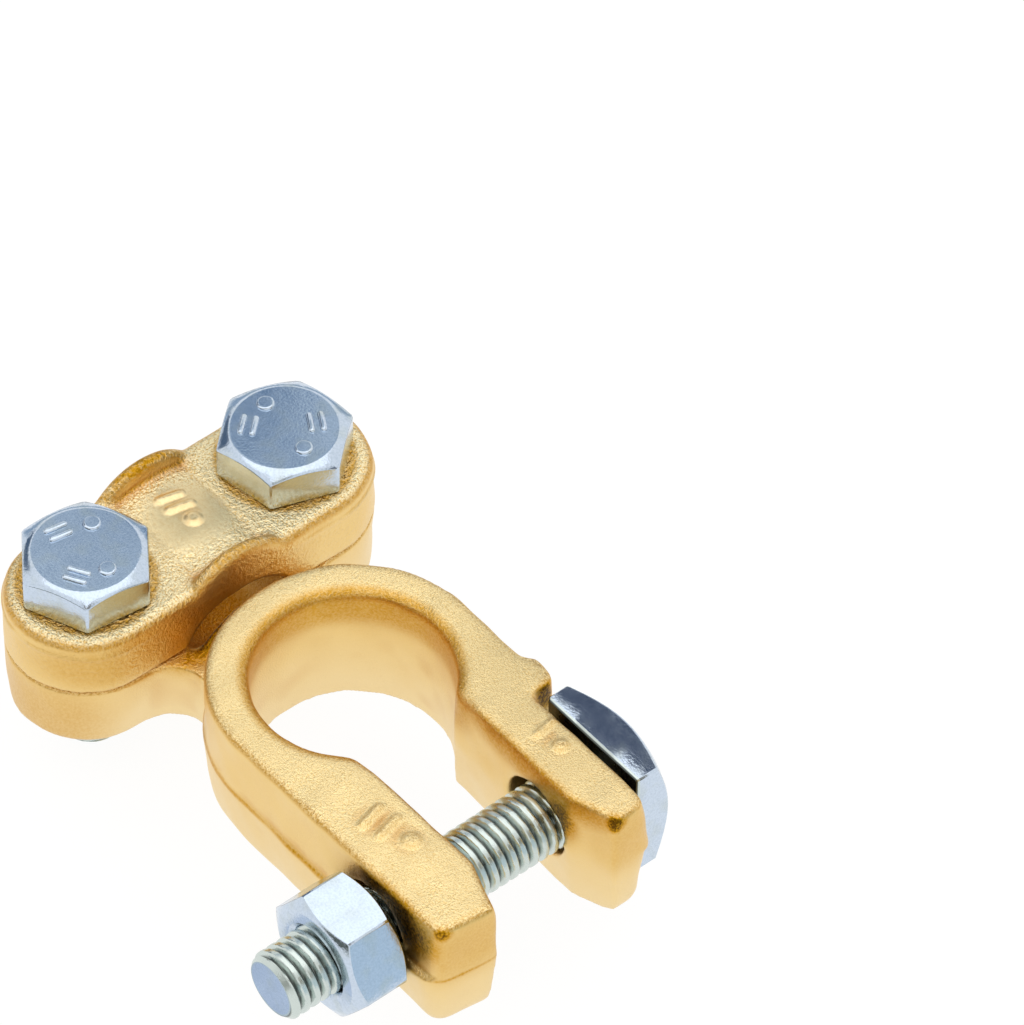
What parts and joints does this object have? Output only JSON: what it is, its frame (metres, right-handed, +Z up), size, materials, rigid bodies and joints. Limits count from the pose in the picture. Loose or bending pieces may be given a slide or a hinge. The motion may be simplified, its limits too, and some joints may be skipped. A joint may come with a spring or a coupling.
{
  "type": "battery terminal clamp",
  "caption": "Cast brass battery post clamp with a split ring closed by a cross bolt and a strap that clamps the cable on its other end.",
  "frame": {"origin": "centre of the battery post bore, on the underside of the ring", "axes": "+Z up along the post, +X towards the open ends of the arms, +Y towards the square bolt head"},
  "size_m": [0.0528, 0.0393, 0.0209],
  "materials": {
    "cast_brass": "as cast, satin walls and grainy upper faces",
    "zinc_plated_steel": "bright zinc plating"
  },
  "bodies": {
    "terminal_body": {"terminal_body": "cast_brass"},
    "cable_strap": {"cable_strap": "cast_brass"},
    "left_strap_bolt": {"left_strap_bolt": "zinc_plated_steel"},
    "right_strap_bolt": {"right_strap_bolt": "zinc_plated_steel"},
    "clamp_bolt": {"clamp_bolt": "zinc_plated_steel"},
    "clamp_nut": {"clamp_nut": "zinc_plated_steel"}
  },
  "joints": [
    {"name": "strap_lift", "type": "slide", "parent": "terminal_body", "child": "cable_strap", "axis": [0, 0, 1], "range_m": [0, 0.005]},
    {"name": "left_bolt_turn", "type": "hinge", "parent": "cable_strap", "child": "left_strap_bolt", "pos_m": [-0.0209, -0.0101, 0.012], "axis": [0, 0, 1], "range_deg": [0, 1800]},
    {"name": "right_bolt_turn", "type": "hinge", "parent": "cable_strap", "child": "right_strap_bolt", "pos_m": [-0.0209, 0.0101, 0.012], "axis": [0, 0, 1], "range_deg": [0, 1800]},
    {"name": "nut_turn", "type": "hinge", "parent": "terminal_body", "child": "clamp_nut", "pos_m": [0.0171, -0.015, 0.0064], "axis": [0, -1, 0], "range_deg": [0, 1440]},
    {"name": "clamp_bolt_slide", "type": "slide", "parent": "terminal_body", "child": "clamp_bolt", "axis": [0, 1, 0], "range_m": [0, 0.004]}
  ],
  "couplings": [
    {"joint": "left_bolt_turn", "follows": "strap_lift", "rad_per_m": 6283.1},
    {"joint": "right_bolt_turn", "follows": "strap_lift", "rad_per_m": 6283.1},
    {"joint": "nut_turn", "follows": "clamp_bolt_slide", "rad_per_m": 6283.1}
  ]
}
